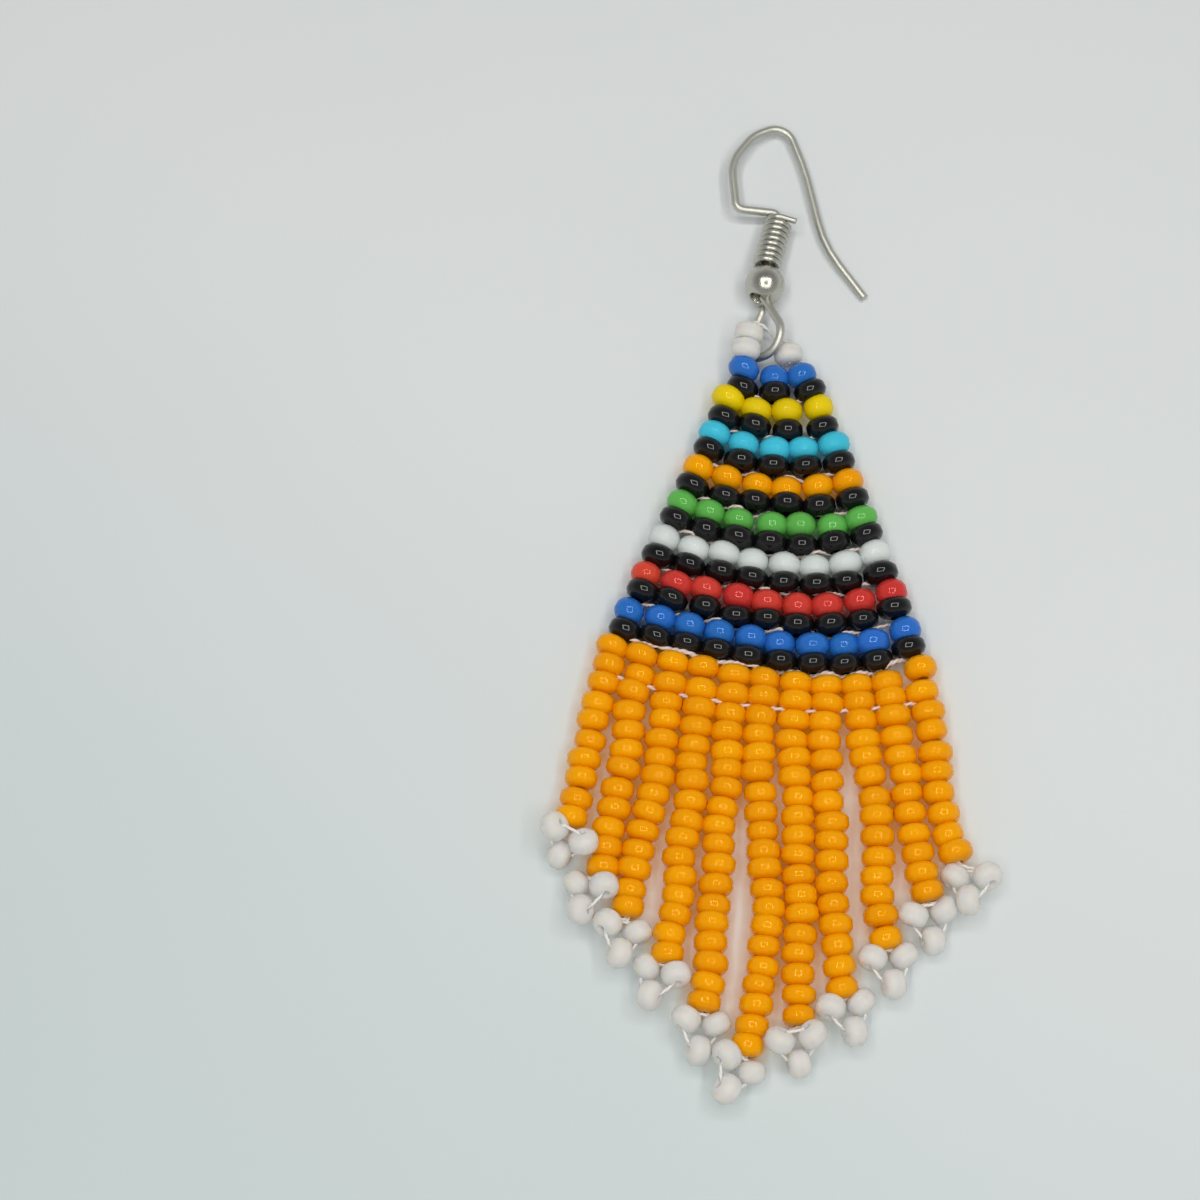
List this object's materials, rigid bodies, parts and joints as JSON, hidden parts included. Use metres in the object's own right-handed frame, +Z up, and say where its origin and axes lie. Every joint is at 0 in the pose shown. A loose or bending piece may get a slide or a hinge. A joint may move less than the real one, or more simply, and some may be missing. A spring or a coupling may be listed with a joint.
{
  "type": "beaded fringe earring",
  "caption": "Dangle earring: a bent wire ear hook with coil and ball carries a fan of coloured seed bead rows with a bead fringe that ends in small white bead loops.",
  "frame": {"origin": "middle of the base of the bounding box, on the surface that the earring lies on", "axes": "+Y toward the top of the ear hook, -Y toward the fringe, +Z up out of the surface and the face of the fan, +X to the right with the hook away from the viewer"},
  "size_m": [0.0358, 0.0828, 0.0041],
  "materials": {
    "wire_metal": "polished nickel-silver, slightly worn",
    "bead_thread": "twisted nylon bead thread",
    "glass_blue": "opaque glass, glossy",
    "glass_black": "opaque glass, glossy",
    "glass_yellow": "opaque glass, satin",
    "glass_turquoise": "opaque glass, satin",
    "glass_orange": "opaque glass, glossy",
    "glass_green": "opaque glass, glossy",
    "glass_white": "opaque glass, satin",
    "glass_red": "opaque glass, glossy"
  },
  "bodies": {
    "root": {"ear_wire": "wire_metal", "wire_coil": "wire_metal", "ball_bead": "wire_metal", "loop_beads": "glass_white", "loop_thread": "bead_thread", "row_01_blue": "glass_blue", "row_02_black": "glass_black", "row_03_yellow": "glass_yellow", "row_04_black": "glass_black", "row_05_turquoise": "glass_turquoise", "row_06_black": "glass_black", "row_07_orange": "glass_orange", "row_08_black": "glass_black", "row_09_green": "glass_green", "row_10_black": "glass_black", "row_11_white": "glass_white", "row_12_black": "glass_black", "row_13_red": "glass_red", "row_14_black": "glass_black", "row_15_blue": "glass_blue", "row_16_black": "glass_black", "row_17_orange": "glass_orange", "strand_01": "glass_orange", "strand_02": "glass_orange", "strand_03": "glass_orange", "strand_04": "glass_orange", "strand_05": "glass_orange", "strand_06": "glass_orange", "strand_07": "glass_orange", "strand_08": "glass_orange", "strand_09": "glass_orange", "strand_10": "glass_orange", "strand_11": "glass_orange", "picot_01": "glass_white", "picot_02": "glass_white", "picot_03": "glass_white", "picot_04": "glass_white", "picot_05": "glass_white", "picot_06": "glass_white", "picot_07": "glass_white", "picot_08": "glass_white", "picot_09": "glass_white", "picot_10": "glass_white", "picot_11": "glass_white", "picot_threads": "bead_thread"}
  },
  "joints": []
}
